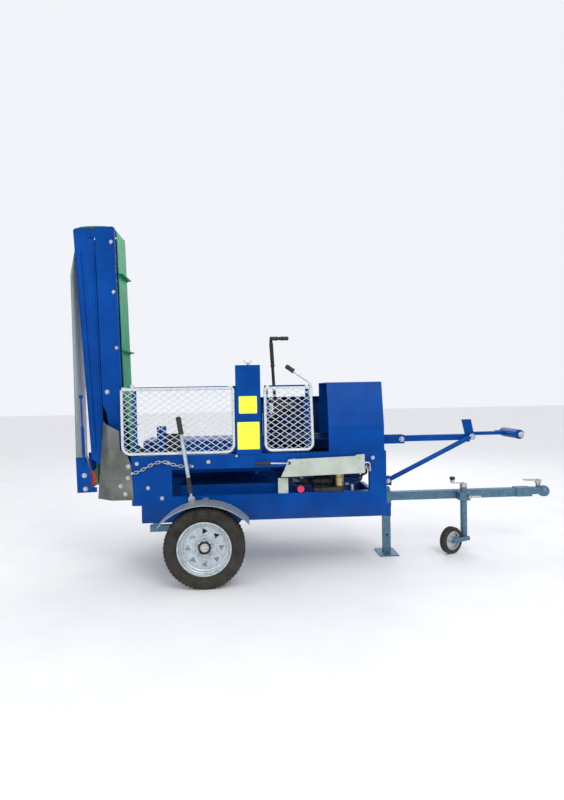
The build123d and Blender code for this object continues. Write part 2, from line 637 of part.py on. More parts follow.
def lower_conveyor():
    outline = [(-1735, 1300), (-1680, 1190), (-1640, 1190), (-1584, 1440), (-1584, 2640), (-1600, 2655), (-1720, 2655),
               (-1735, 2640)]
    near = plate_xz(outline, LINE_Y - OUTER_HALF, LINE_Y - OUTER_HALF + 5)
    arm = plate_xz([(-1735, 1400), (-1590, 1400), (-1558, 760), (-1558, 720), (-1622, 720), (-1640, 760)],
                   LINE_Y - OUTER_HALF + 4, LINE_Y - OUTER_HALF + 10)
    boss = rod((BASE_X, LINE_Y - OUTER_HALF + 5, BASE_Z), "y", 34, 10)
    sides = [near + arm + boss, across_line(near + arm + boss)]
    bed = block(-1600, -1595, LINE_Y - 171, LINE_Y + 171, 1445, 2500)
    ties = [block(-1670, -1640, LINE_Y - 171, LINE_Y + 171, z, z + 30) for z in (1450, 2000)]
    lugs = across(FOLD_X - 24, -1734, OUTER_HALF + 4, OUTER_HALF - 1, FOLD_Z - 24, FOLD_Z + 24)
    whole = fuse(sides + [bed] + ties + lugs)
    whole -= rod((FOLD_X, LINE_Y - 200, FOLD_Z), "y", 10 + PIN_FIT, 400)
    return leaned(whole - rod((BASE_X, LINE_Y - 200, BASE_Z), "y", 15 + PIN_FIT, 400))


def upper_conveyor():
    near = plate_xz([(-1838, 900), (-1742, 826), (-1742, 2620), (-1780, 2650), (-1880, 2650), (-1896, 2634)],
                    LINE_Y - INNER_HALF, LINE_Y - INNER_HALF + 5)
    head = plate_xz([(-1955, 915), (-1880, 915), (-1850, 800), (-1850, 690), (-1808, 680), (-1808, 645),
                     (-1955, 645)], LINE_Y - INNER_HALF - 6, LINE_Y - INNER_HALF + 1)
    sides = [near + head, across_line(near + head)]
    bed = plate_xz([(-1827, 930), (-1822, 930), (-1867, 2500), (-1872, 2500)], LINE_Y - 169, LINE_Y + 169)
    ties = [block(-1798, -1778, LINE_Y - 169, LINE_Y + 169, z, z + 30) for z in (960, 1500, 2100, 2480)]
    pins = [rod((FOLD_X, LINE_Y - 190, FOLD_Z), "y", 10, 24)]
    pins.append(across_line(pins[0]))
    axle = rod((HEAD_X, LINE_Y - 178, HEAD_Z), "y", 12, 356)
    return leaned(fuse(sides + [bed, axle] + ties + pins))


def folding_prop():
    low, high = (-1893, LINE_Y - INNER_HALF - 14, 880), (-1893, LINE_Y - INNER_HALF - 14, 1375)
    body = link_bar(low, (low[0], low[1], 1150), 11) + link_bar((low[0], low[1], 1149), high, 6)
    eyes = [rod((low[0], low[1] - 8, z), "y", 14, 16) for z in (low[2], high[2])]
    return leaned(fuse([body] + eyes))


def drum(x, z, bore):
    shell = ring((x, LINE_Y - 152, z), "y", 54.5, bore + PIN_FIT, 304)
    return leaned(shell)


def belt_wrap(x, z):
    """The belt's lower half turn about a drum."""
    band = ring((x, LINE_Y - BELT_HALF, z), "y", 60, 60 - BELT_T, 2 * BELT_HALF)
    return band - block(x - 70, x + 70, LINE_Y - 200, LINE_Y + 200, z, z + 70)


def belt_run(points):
    """A flat belt that follows points in X and Z, thickened towards +X of its path."""
    shifted = [(x + BELT_T, z) for x, z in reversed(points)]
    return plate_xz(points + shifted, LINE_Y - BELT_HALF, LINE_Y + BELT_HALF)


def flight(x, z, side):
    """A cleat across the belt, standing out to +X or -X."""
    wide = sorted((x, x + side * 38))
    return block(wide[0], wide[1], LINE_Y - BELT_HALF + 5, LINE_Y + BELT_HALF - 5, z - 4, z + 4)


def lower_belt():
    carrying = belt_run([(BASE_X + 55, BASE_Z), (-1581, 1440), (-1581, 2540)])
    back = belt_run([(BASE_X - 60, BASE_Z), (-1705, 1440), (-1705, 2500)])
    flights = [flight(-1577, 1127 + FLIGHT_PITCH * step, 1) for step in (1, 2)] + [flight(-1562, 1127, 1)]
    return leaned(fuse([carrying, back, belt_wrap(BASE_X, BASE_Z)] + flights))


def upper_belt():
    slack = belt_run([(HEAD_X - 60, HEAD_Z), (-1962, 900), (-1950, 1500), (-1938, 2300), (-1891, 2520)])
    back = belt_run([(HEAD_X + 55, HEAD_Z), (-1808, 1200), (-1808, 2400)])
    return leaned(fuse([slack, back, belt_wrap(HEAD_X, HEAD_Z)]))


def fold_belt():
    outer = [(-1576, 2541), (-1576, 2630), (-1612, 2668), (-1850, 2672), (-1890, 2640), (-1891, 2521)]
    inner = [(-1886, 2521), (-1884, 2638), (-1848, 2667), (-1614, 2663), (-1581, 2628), (-1581, 2541)]
    return leaned(plate_xz(outer + inner, LINE_Y - BELT_HALF, LINE_Y + BELT_HALF))


def fenders():
    return both_sides(fender())


NODES = {
    "main_frame": lambda: [main_frame()],
    "oil_tank": lambda: [oil_tank()],
    "filler_cap": lambda: [filler_cap()],
    "axle_beam": lambda: [axle_beam()],
    "fenders": fenders,
    "drawbar": lambda: [drawbar()],
    "support_leg": lambda: [support_leg()],
    "coupling_head": lambda: [coupling_head()],
    "coupling_handle": lambda: [coupling_handle()],
    "jockey_clamp": lambda: [jockey_clamp()],
    "jockey_clamp_handle": lambda: [clamp_handle()],
    "jockey_tube": lambda: [jockey_tube()],
    "jockey_fork": lambda: [jockey_fork()],
    "jockey_rim": lambda: [jockey_rim()],
    "jockey_tyre": lambda: [jockey_tyre()],
    "cylinder_barrel": lambda: [cylinder_barrel()],
    "splitting_wedge": lambda: [splitting_wedge()],
    "splitting_trough": lambda: [splitting_trough(), wedge_guide()],
    "push_ram": lambda: [ram_rod(), push_plate()],
    "wedge_lever": lambda: [wedge_lever(), wedge_lever_grip()],
    "saw_arm": lambda: [saw_arm(), saw_lever_grip()],
    "saw_bar_and_chain": lambda: [saw_bar(), saw_chain()],
    "jockey_crank": lambda: [jockey_crank(), jockey_knob()],
    "valve_lever": lambda: [valve_lever(), valve_lever_grip()],
    "infeed_bed": lambda: [infeed_bed(), rear_panel()],
    "stands_and_pins": lambda: guard_posts() + [saw_hinge_pin()],
    "bolts_and_pins": lambda: frame_bolts() + base_pins(),
    "upper_conveyor": lambda: [upper_conveyor(), folding_prop()],
    "left_guard_frame": lambda: [left_guard_frame()],
    "left_guard_mesh": lambda: [guard_sheet(-1568.7, -767.3, 946, 1405.5)],
    "right_guard_frame": lambda: [right_guard_frame()],
    "right_guard_mesh": lambda: [guard_sheet(-504.5, -183, 952, 1399.5)],
    "right_guard_grip": lambda: [right_guard_grip()],
    "control_post": lambda: [control_post()],
    "wing_nut": lambda: [wing_nut()],
    "infeed_hood": lambda: [infeed_hood()],
    "feed_roller": lambda: [feed_roller()],
    "infeed_brackets": infeed_bracket,
    "infeed_arm": lambda: [infeed_arm()],
    "infeed_roller": lambda: [infeed_roller()],
    "infeed_strut": lambda: [infeed_strut()],
    "valve_cover": lambda: [valve_cover()],
    "valve_block": lambda: [valve_block()],
    "pump_gearbox": lambda: [pump_gearbox()],
    "hydraulic_hoses": hydraulic_hoses,
    "chute": lambda: [chute()],
    "safety_chain": safety_chain,
    "lower_conveyor": lambda: [lower_conveyor()],
    "tail_drum": lambda: [drum(BASE_X, BASE_Z, 15)],
    "drive_drum": lambda: [drum(HEAD_X, HEAD_Z, 12)],
    "lower_belt": lambda: [lower_belt()],
    "upper_belt": lambda: [upper_belt()],
    "fold_belt": lambda: [fold_belt()],
}

for node, make in NODES.items():
    save(node, *make())
save_wheels()
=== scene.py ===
"""Looks of the trailer firewood processor, built round its CAD frame. Metres, +Z up, +X to the towbar."""
import json
import math

import bmesh
import bpy
from mathutils import Matrix, Vector


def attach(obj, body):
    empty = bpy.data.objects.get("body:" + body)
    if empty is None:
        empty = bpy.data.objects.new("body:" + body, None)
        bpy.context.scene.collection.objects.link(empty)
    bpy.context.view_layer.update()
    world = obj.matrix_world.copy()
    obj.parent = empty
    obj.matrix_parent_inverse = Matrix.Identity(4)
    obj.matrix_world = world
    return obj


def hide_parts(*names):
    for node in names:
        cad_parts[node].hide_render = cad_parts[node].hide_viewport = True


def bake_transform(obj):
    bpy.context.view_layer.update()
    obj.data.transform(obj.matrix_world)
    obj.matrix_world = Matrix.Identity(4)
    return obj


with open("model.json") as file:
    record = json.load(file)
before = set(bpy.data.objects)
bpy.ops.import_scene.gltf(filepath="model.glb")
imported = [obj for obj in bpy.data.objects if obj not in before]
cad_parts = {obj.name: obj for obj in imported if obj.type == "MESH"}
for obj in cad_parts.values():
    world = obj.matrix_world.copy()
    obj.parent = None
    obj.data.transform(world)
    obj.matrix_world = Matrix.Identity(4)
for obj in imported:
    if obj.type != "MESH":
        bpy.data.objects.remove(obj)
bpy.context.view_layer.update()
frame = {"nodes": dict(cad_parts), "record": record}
nodes = frame["nodes"]

# Places that several pieces share
WHEEL_X, WHEEL_Z = -0.972, 0.288
WHEEL_FACE = 0.748
TYRE_MIDDLE = 0.722
TYRE_RADIUS = 0.288
JOCKEY_AXLE = (1.0349, -0.1544, 0.111)
JOCKEY_TURN = math.radians(207)
LEVER_Y = -0.56
GUARD_Y = -0.5
LEFT_SHEET = (-1.572, -0.764, 0.942, 1.4075)
RIGHT_SHEET = (-0.508, -0.172, 0.948, 1.403)
SHEET_CORNER = 0.052
POST_FACE = -0.5082
POST_PLATES = ((-0.714, -0.578, 1.222, 1.352), (-0.728, -0.562, 0.952, 1.158))
CONVEYOR_Y = -0.2
CONVEYOR_LEAN = math.radians(-1.3)
TAIL_X, TAIL_Z = -1.590, 0.750
DRUM_RADIUS = 0.0575
BELT_EDGES = (-0.3495, -0.0505)
BELT_HALF = 0.0024
DECK_X = (-0.270, 0.376)
SOCKET_X = (-1.393, -1.150)
SOCKET_Y = -0.4775
PUMP_Y, PUMP_Z = -0.402, 0.684
FILTER_X, FILTER_Y = 0.052, -0.413
CAP_X, CAP_Z = -0.256, 0.637
CAP_RADIUS = 0.0262

# Directions
UP, DOWN = (0, 0, 1), (0, 0, -1)
NEAR, FAR = (0, -1, 0), (0, 1, 0)


def scene_object(name, data):
    thing = bpy.data.objects.new(name, data)
    bpy.context.scene.collection.objects.link(thing)
    return thing


# Camera, light and floor
def make_camera():
    data = bpy.data.cameras.new("camera")
    data.sensor_width = 36.0
    data.lens = 25.2
    camera = scene_object("camera", data)
    yaw, pitch, roll = math.radians(3.8), math.radians(-1.2), math.radians(-1.0)
    tilt = Matrix.Rotation(math.pi / 2 + pitch, 4, "X")
    turn = Matrix.Rotation(-yaw, 4, "Z") @ tilt @ Matrix.Rotation(roll, 4, "Z")
    camera.matrix_world = Matrix.Translation((-0.6685, -4.72, 1.407)) @ turn
    bpy.context.scene.camera = camera


def area_light(name, place, target, size, power):
    data = bpy.data.lights.new(name, "AREA")
    data.size = size
    data.energy = power
    light = scene_object(name, data)
    light.location = place
    light.rotation_euler = (Vector(target) - Vector(place)).to_track_quat("-Z", "Y").to_euler()


def make_studio():
    world = bpy.data.worlds.new("studio")
    bpy.context.scene.world = world
    world.use_nodes = True
    background = world.node_tree.nodes["Background"]
    background.inputs["Color"].default_value = (0.93, 0.95, 1.0, 1.0)
    background.inputs["Strength"].default_value = 0.95
    area_light("key", (1.5, -6.0, 5.5), (-0.3, 0.0, 0.9), 3.5, 210.0)
    area_light("fill", (-5.0, -4.5, 3.0), (-1.0, 0.0, 1.0), 3.0, 45.0)
    area_light("rim", (1.0, 5.0, 4.5), (0.0, 0.0, 1.0), 3.0, 80.0)
    bpy.context.scene.view_settings.view_transform = "Standard"
    mesh = bpy.data.meshes.new("floor")
    mesh.from_pydata([(-30, -30, 0), (30, -30, 0), (30, 30, 0), (-30, 30, 0)], [], [(0, 1, 2, 3)])
    floor = scene_object("floor", mesh)
    mesh.materials.append(surface("pale_floor", (0.86, 0.86, 0.86), (0.83, 0.83, 0.83), rough=0.75, scale=3.0))


# Materials
def surface(name, base, second, rough=0.5, scale=12.0, metal=0.0, bump=0.0, bump_scale=200.0, low_dust_and_shade=None, coat=0.0,
            sheen=0.0, spread=(0.35, 0.65), rough_span=0.12, cells=False, gloss=0.5):
    """A procedural finish: two tones in soft patches, uneven roughness, fine bump, and, where given, a tint low
    down (dust on the tyres, painted shade on the blue paint).
    """
    material = bpy.data.materials.new(name)
    material.use_nodes = True
    tree = material.node_tree
    shader = tree.nodes["Principled BSDF"]
    shader.inputs["Metallic"].default_value = metal
    shader.inputs["Specular IOR Level"].default_value = gloss
    shader.inputs["Coat Weight"].default_value = coat
    shader.inputs["Coat Roughness"].default_value = 0.12
    shader.inputs["Sheen Weight"].default_value = sheen
    where = tree.nodes.new("ShaderNodeTexCoord")
    if cells:
        patches = tree.nodes.new("ShaderNodeTexVoronoi")
        patches.inputs["Scale"].default_value = scale
        tree.links.new(where.outputs["Object"], patches.inputs["Vector"])
    else:
        patches = noise_of(tree, where, scale, 6.0)
    ramp = tree.nodes.new("ShaderNodeValToRGB")
    for element, position, tone in zip(ramp.color_ramp.elements, spread, (base, second)):
        element.position = position
        element.color = (*tone, 1.0)
    source = patches.outputs["Color"] if cells else patches.outputs["Fac"]
    tree.links.new(source, ramp.inputs["Fac"])
    colour = ramp.outputs["Color"]
    if low_dust_and_shade:
        colour = add_low_dust_and_shade(tree, where, colour, *low_dust_and_shade)
    tree.links.new(colour, shader.inputs["Base Color"])
    add_roughness(tree, where, shader, rough, rough_span, scale * 2.3)
    if bump:
        add_bump(tree, where, shader, bump, bump_scale)
    return material


def noise_of(tree, where, scale, detail):
    noise = tree.nodes.new("ShaderNodeTexNoise")
    noise.inputs["Scale"].default_value = scale
    noise.inputs["Detail"].default_value = detail
    tree.links.new(where.outputs["Object"], noise.inputs["Vector"])
    return noise


def add_low_dust_and_shade(tree, where, colour, tint, low, high):
    """A tint below a height, broken up by noise: brown dust on the tyres, near-black painted shade on the blue
    paint.
    """
    split = tree.nodes.new("ShaderNodeSeparateXYZ")
    tree.links.new(where.outputs["Object"], split.inputs["Vector"])
    height = tree.nodes.new("ShaderNodeMapRange")
    height.inputs["From Min"].default_value = low
    height.inputs["From Max"].default_value = high
    height.inputs["To Min"].default_value = 0.55
    height.inputs["To Max"].default_value = 0.0
    tree.links.new(split.outputs["Z"], height.inputs["Value"])
    noise = noise_of(tree, where, 9.0, 8.0)
    amount = tree.nodes.new("ShaderNodeMath")
    amount.operation = "MULTIPLY"
    tree.links.new(height.outputs["Result"], amount.inputs[0])
    tree.links.new(noise.outputs["Fac"], amount.inputs[1])
    mix = tree.nodes.new("ShaderNodeMixRGB")
    tree.links.new(amount.outputs["Value"], mix.inputs["Fac"])
    tree.links.new(colour, mix.inputs["Color1"])
    mix.inputs["Color2"].default_value = (*tint, 1.0)
    return mix.outputs["Color"]


def add_roughness(tree, where, shader, middle, span, scale):
    noise = noise_of(tree, where, scale, 4.0)
    spread = tree.nodes.new("ShaderNodeMapRange")
    spread.inputs["To Min"].default_value = max(middle - span, 0.05)
    spread.inputs["To Max"].default_value = min(middle + span, 1.0)
    tree.links.new(noise.outputs["Fac"], spread.inputs["Value"])
    tree.links.new(spread.outputs["Result"], shader.inputs["Roughness"])


def add_bump(tree, where, shader, strength, scale):
    noise = noise_of(tree, where, scale, 3.0)
    bump = tree.nodes.new("ShaderNodeBump")
    bump.inputs["Strength"].default_value = strength
    bump.inputs["Distance"].default_value = 0.002
    tree.links.new(noise.outputs["Fac"], bump.inputs["Height"])
    tree.links.new(bump.outputs["Normal"], shader.inputs["Normal"])


LOOKS = {
    # The blue paint's low tint darkens it to near-black below 0.54 m: painted shade under the body.
    "blue_paint": dict(base=(0.0, 0.042, 0.225), second=(0.0, 0.06, 0.3), rough=0.3, scale=4.0, gloss=0.07,
        coat=0.02, bump=0.06, bump_scale=60.0, low_dust_and_shade=((0.03, 0.035, 0.05), 0.4, 0.54)),
    # Painted shade: a darker copy of the blue paint for the saw housing's bed and the skirt in its slot, standing
    # in for the shade inside the housing.
    "painted_shade_blue": dict(base=(0.0, 0.012, 0.07), second=(0.0, 0.019, 0.105), rough=0.45, scale=5.0, gloss=0.2,
        bump=0.1, bump_scale=60.0),
    "galvanised": dict(base=(0.4, 0.45, 0.48), second=(0.56, 0.61, 0.64), rough=0.46, scale=55.0, metal=0.75,
        spread=(0.1, 0.9), cells=True, bump=0.15, bump_scale=160.0),
    "chute_zinc": dict(base=(0.085, 0.095, 0.085), second=(0.19, 0.205, 0.185), rough=0.5, scale=7.0,
        metal=0.55, spread=(0.3, 0.7), bump=0.2, bump_scale=60.0),
    "towbar_zinc": dict(base=(0.06, 0.14, 0.21), second=(0.1, 0.2, 0.28), rough=0.45, scale=55.0, metal=0.55,
        spread=(0.1, 0.9), cells=True, bump=0.2, bump_scale=120.0),
    "white_tube": dict(base=(0.5, 0.55, 0.57), second=(0.66, 0.7, 0.72), rough=0.38, scale=40.0, metal=0.45,
        bump=0.1, bump_scale=200.0),
    "grey_cover": dict(base=(0.4, 0.45, 0.39), second=(0.5, 0.55, 0.48), rough=0.42, scale=8.0, metal=0.25,
        bump=0.1, bump_scale=150.0),
    "dark_steel": dict(base=(0.012, 0.012, 0.014), second=(0.05, 0.05, 0.055), rough=0.5, scale=30.0,
        metal=0.5, bump=0.4, bump_scale=300.0),
    "chrome_rod": dict(base=(0.62, 0.62, 0.64), second=(0.75, 0.75, 0.76), rough=0.12, scale=20.0, metal=1.0,
        rough_span=0.05),
    "tyre_rubber": dict(base=(0.014, 0.013, 0.012), second=(0.036, 0.033, 0.028), rough=0.82, scale=14.0,
        gloss=0.25, bump=0.35, bump_scale=260.0, low_dust_and_shade=((0.085, 0.075, 0.058), 0.0, 0.5)),
    "belt_pvc": dict(base=(0.0, 0.2, 0.085), second=(0.0, 0.27, 0.12), rough=0.5, scale=7.0, gloss=0.12,
        bump=0.2, bump_scale=350.0),
    "belt_fabric": dict(base=(0.74, 0.76, 0.7), second=(0.84, 0.85, 0.8), rough=0.85, scale=18.0, sheen=0.3,
        bump=0.5, bump_scale=700.0),
    "black_grip": dict(base=(0.008, 0.008, 0.009), second=(0.022, 0.022, 0.024), rough=0.6, scale=40.0,
        bump=0.35, bump_scale=450.0),
    "red_cap": dict(base=(0.62, 0.02, 0.08), second=(0.72, 0.04, 0.1), rough=0.35, scale=60.0, bump=0.1,
        bump_scale=300.0),
    "red_drum": dict(base=(0.3, 0.02, 0.015), second=(0.5, 0.09, 0.07), rough=0.55, scale=22.0, bump=0.3,
        bump_scale=120.0),
    "steel": dict(base=(0.38, 0.38, 0.38), second=(0.6, 0.6, 0.58), rough=0.38, scale=45.0, metal=0.9,
        bump=0.1, bump_scale=200.0),
    "brass": dict(base=(0.42, 0.3, 0.13), second=(0.6, 0.46, 0.24), rough=0.4, scale=40.0, metal=0.9,
        bump=0.15, bump_scale=200.0),
    "yellow_plate": dict(base=(0.86, 0.86, 0.03), second=(0.9, 0.92, 0.06), rough=0.4, scale=15.0, bump=0.03,
        bump_scale=100.0),
}
FINISHES = {name: surface(name, **look) for name, look in LOOKS.items()}
TOWBAR_NODES = ("drawbar", "coupling_head", "support_leg", "jockey_clamp", "jockey_tube", "jockey_fork",
                "axle_beam")
# The infeed bed takes the darker blue of painted shade.
NODE_FINISHES = {"chute": "chute_zinc", "infeed_bed": "painted_shade_blue", "wedge_lever": "galvanised"}
NODE_FINISHES.update(dict.fromkeys(TOWBAR_NODES, "towbar_zinc"))


def shade_smooth(mesh, angle):
    """Smooth shading that keeps edges sharper than the angle."""
    work = bmesh.new()
    work.from_mesh(mesh)
    for face in work.faces:
        face.smooth = True
    for edge in work.edges:
        edge.smooth = edge.is_manifold and edge.calc_face_angle(0.0) < math.radians(angle)
    work.to_mesh(mesh)
    work.free()


def dress_cad():
    slots = {row["node"]: row["material_slot"] for row in frame["record"]["subparts"]}
    for name, node in nodes.items():
        node.data.materials.clear()
        node.data.materials.append(FINISHES[NODE_FINISHES.get(name, slots[name])])


# Mesh pieces
def piece(name, verts, faces, body, finish, smooth=35.0):
    """A mesh piece on a body; its one slot holds its finish."""
    mesh = bpy.data.meshes.new(name)
    mesh.from_pydata([tuple(v) for v in verts], [], faces)
    mesh.update()
    work = bmesh.new()
    work.from_mesh(mesh)
    bmesh.ops.recalc_face_normals(work, faces=work.faces)
    work.to_mesh(mesh)
    work.free()
    shade_smooth(mesh, smooth)
    thing = scene_object(name, mesh)
    mesh.materials.append(FINISHES[finish])
    if body:
        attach(thing, body)
    return thing


class Shape:
    """Gathers the vertices and faces of one piece."""

    def __init__(self):
        self.verts, self.faces = [], []

    def add(self, verts, faces):
        start = len(self.verts)
        self.verts += [Vector(v) for v in verts]
        self.faces += [tuple(start + i for i in face) for face in faces]

    def lathe(self, start, along, profile, sides=32):
        """A turned form: profile is (distance along, radius) pairs, closed at both ends."""
        along = Vector(along).normalized()
        side = along.orthogonal().normalized()
        other = along.cross(side)
        verts, faces = [], []
        for reach, radius in profile:
            for step in range(sides):
                angle = 2 * math.pi * step / sides
                spoke = side * math.cos(angle) + other * math.sin(angle)
                verts.append(Vector(start) + along * reach + spoke * radius)
        for ring in range(len(profile) - 1):
            for step in range(sides):
                after = (step + 1) % sides
                faces.append((ring * sides + step, ring * sides + after, (ring + 1) * sides + after,
                              (ring + 1) * sides + step))
        faces.append(tuple(reversed(range(sides))))
        faces.append(tuple((len(profile) - 1) * sides + step for step in range(sides)))
        self.add(verts, faces)

    def bar(self, start, end, wide, thick, up=(0, 1, 0)):
        """A flat bar with a rectangular section between two points; thick is measured along up."""
        along = (Vector(end) - Vector(start)).normalized()
        up = Vector(up)
        side = along.cross(up).normalized() * (wide / 2)
        up = up.normalized() * (thick / 2)
        verts = []
        for spot in (Vector(start), Vector(end)):
            verts += [spot - side - up, spot + side - up, spot + side + up, spot - side + up]
        self.add(verts, [(0, 1, 2, 3), (7, 6, 5, 4), (0, 4, 5, 1), (1, 5, 6, 2), (2, 6, 7, 3), (3, 7, 4, 0)])

    def make(self, name, body, finish, smooth=35.0, slot=None):
        return piece(name, self.verts, self.faces, body, finish, smooth)


def hoop(sides, count):
    """Faces of a closed outline of count points carried round in a number of steps."""
    faces = []
    for step in range(sides):
        after = (step + 1) % sides
        for point in range(count):
            following = (point + 1) % count
            faces.append((step * count + point, after * count + point, after * count + following,
                          step * count + following))
    return faces


def revolve(shape, y, out, profile):
    """A closed (reach outwards, radius) outline turned about the road wheels' axle."""
    sides = 96
    verts = []
    for step in range(sides):
        angle = 2 * math.pi * step / sides
        verts += [(WHEEL_X + radius * math.cos(angle), y + out * reach, WHEEL_Z + radius * math.sin(angle))
                  for reach, radius in profile]
    shape.add(verts, hoop(sides, len(profile)))


def bolt(shape, place, along, across, high):
    """A hexagon head on its washer, with a domed top."""
    shape.lathe(place, along, [(0.0, across * 0.78), (0.0016, across * 0.78), (0.002, across * 0.6)], 24)
    half = across / math.sqrt(3)
    shape.lathe(Vector(place) + Vector(along) * 0.0015, along,
                [(0.0, half), (high * 0.8, half), (high, half * 0.82), (high * 1.02, half * 0.3)], 6)


def bolts(shape, spots, y, along, across, high):
    """Heads of one size over (x, z) spots of an upright face."""
    for x, z in spots:
        bolt(shape, (x, y, z), along, across, high)


def bolt_pairs(shape, spots, reach, across, high):
    """Heads on both sides of the conveyor's middle plane."""
    for x, z in spots:
        bolt(shape, (x, CONVEYOR_Y - reach, z), NEAR, across, high)
        bolt(shape, (x, CONVEYOR_Y + reach, z), FAR, across, high)


def grip(name, body, start, end, radius):
    """A ribbed rubber sleeve with rounded ends."""
    start, end = Vector(start), Vector(end)
    length = (end - start).length
    pitch = 0.009
    profile = [(0.0, radius * 0.86), (0.004, radius * 1.12), (0.009, radius * 1.12), (0.012, radius)]
    for rib in range(int((length - 0.03) / pitch)):
        at = 0.014 + rib * pitch
        profile += [(at, radius), (at + 0.002, radius * 0.93), (at + 0.005, radius * 0.93), (at + 0.007, radius)]
    profile += [(length - 0.008, radius), (length - 0.002, radius * 0.85), (length + 0.002, radius * 0.5)]
    shape = Shape()
    shape.lathe(start, end - start, profile, 28)
    shape.make(name, body, "black_grip", 50.0)


def sleeves():
    grip("wedge_lever_sleeve", "wedge_lever", (-1.1411, LEVER_Y, 1.080), (-1.1606, LEVER_Y, 1.209), 0.0195)
    grip("valve_lever_sleeve", "valve_lever", (-0.487, LEVER_Y, 0.849), (-0.599, LEVER_Y, 0.849), 0.0145)
    grip("saw_lever_sleeve", "saw", (-0.4323, -0.0658, 1.585), (-0.4458, -0.1337, 1.781), 0.0165)
    grip("saw_handle_left", "saw", (-0.395, -0.14, 1.814), (-0.456, -0.14, 1.814), 0.0165)
    grip("saw_handle_right", "saw", (-0.365, -0.14, 1.814), (-0.304, -0.14, 1.814), 0.0165)
    grip("right_guard_sleeve", "right_guard", (-0.2955, GUARD_Y, 1.5335), (-0.3545, GUARD_Y, 1.5747), 0.0178)
    knob = Shape()
    knob.lathe((1.077, -0.084, 0.583), UP,
               [(0.0, 0.011), (0.003, 0.015), (0.012, 0.0165), (0.024, 0.0185), (0.030, 0.0235), (0.040, 0.0240),
                (0.046, 0.020), (0.0495, 0.010)], 28)
    knob.make("jockey_crank_knob", "jockey_crank", "black_grip", 50.0)


def expanded_metal(name, body, node, outline, inside):
    """Expanded metal: diamonds of flattened, tilted strands clipped to the sheet's outline."""
    strands = Shape()
    wide, high = 0.068, 0.045
    left, right, low, top = outline
    columns = int((right - left) / wide) + 2
    rows = int((top - low) / high) + 2
    for row in range(-1, rows):
        for column in range(-1, columns):
            x, z = left + column * wide, low + row * high
            knot = (x + wide / 2, z + high / 2)
            for ends in (((x, z), knot), (knot, (x + wide, z)), ((x, z + high), knot),
                         (knot, (x + wide, z + high))):
                clipped = clip(ends, inside)
                if clipped:
                    (ax, az), (bx, bz) = clipped
                    strands.bar((ax, GUARD_Y, az), (bx, GUARD_Y, bz), 0.0044, 0.0024, up=(0.0, 1.0, 0.35))
    thing = strands.make(name, body, "white_tube", 30.0)
    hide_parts(node)


def clip(ends, inside):
    """The part of a straight strand that lies inside the outline, found in eighths of its length."""
    (ax, az), (bx, bz) = ends
    spots = [(ax + (bx - ax) * step / 8, az + (bz - az) * step / 8) for step in range(9)]
    kept = [spot for spot in spots if inside(*spot)]
    return (kept[0], kept[-1]) if len(kept) > 1 else None


def guard_meshes():
    def within(x, z, outline):
        left, right, low, top = outline
        return left <= x <= right and low <= z <= top

    def in_left(x, z):
        """The left sheet has its two lower corners rounded."""
        left, right, low, _ = LEFT_SHEET
        beyond = max(left + SHEET_CORNER - x, x - right + SHEET_CORNER)
        below = low + SHEET_CORNER - z
        cut = beyond > 0 and below > 0 and math.hypot(beyond, below) > SHEET_CORNER + 0.002
        return within(x, z, LEFT_SHEET) and not cut

    def in_right(x, z):
        return within(x, z, RIGHT_SHEET)

    expanded_metal("left_guard_lattice", "left_guard", "left_guard_mesh", LEFT_SHEET, in_left)
    expanded_metal("right_guard_lattice", "right_guard", "right_guard_mesh", RIGHT_SHEET, in_right)


def tyre(name, body, node, centre, radius, width, rim, lugs, turn=0.0):
    """A tyre with sidewalls, shoulder blocks and circumferential grooves."""
    half = width / 2
    side = [(0.80, rim), (0.90, rim + 0.004), (0.97, rim + 0.018), (1.0, radius * 0.82), (0.98, radius * 0.9),
            (0.90, radius * 0.965), (0.82, radius * 0.985)]
    bed = rim - 0.001
    groove = radius - 0.009
    profile = [(-half * across, reach) for across, reach in side]
    for band in range(4):
        edge = -0.78 + band * 0.4
        profile += [(half * edge, radius), (half * (edge + 0.30), radius)]
        if band < 3:
            profile += [(half * (edge + 0.31), groove), (half * (edge + 0.39), groove)]
    profile += [(half * across, reach) for across, reach in reversed(side)]
    profile += [(half * 0.80, bed), (-half * 0.80, bed)]
    sides = 240
    verts = []
    for step in range(sides):
        angle = 2 * math.pi * step / sides
        for across, reach in profile:
            between = lugs and step % (sides // lugs) == 0 and abs(across) > half * 0.3
            cut = 0.0075 if between and reach > radius * 0.96 else 0.0
            along = math.cos(angle) * (reach - cut)
            verts.append((centre[0] + along * math.cos(turn) - across * math.sin(turn),
                          centre[1] + along * math.sin(turn) + across * math.cos(turn),
                          centre[2] + math.sin(angle) * (reach - cut)))
    thing = piece(name, verts, hoop(sides, len(profile)), body, "tyre_rubber", 40.0)
    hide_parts(node)


def tyres():
    for side, out in (("near", -1), ("far", 1)):
        tyre(side + "_tyre_treaded", side + "_wheel", side + "_wheel_tyre",
             (WHEEL_X, out * TYRE_MIDDLE, WHEEL_Z), TYRE_RADIUS, 0.156, 0.186, 60)
        ribs = Shape()
        for mould in (0.208, 0.240):
            revolve(ribs, out * (TYRE_MIDDLE + 0.0757), out,
                    [(0.0, mould - 0.003), (0.0035, mould - 0.002), (0.0035, mould + 0.002), (0.0, mould + 0.003)])
        ribs.make(side + "_sidewall_ribs", side + "_wheel", "tyre_rubber", 40.0)
    tyre("jockey_tyre_moulded", "jockey_wheel", "jockey_tyre", JOCKEY_AXLE, 0.111, 0.054, 0.0765, 0, JOCKEY_TURN)


def leaned(x, z):
    """Conveyor coordinates turned by the conveyor's lean about the tail drum."""
    dx, dz = x - TAIL_X, z - TAIL_Z
    cosine, sine = math.cos(CONVEYOR_LEAN), math.sin(CONVEYOR_LEAN)
    return (TAIL_X + dx * cosine + dz * sine, TAIL_Z - dx * sine + dz * cosine)


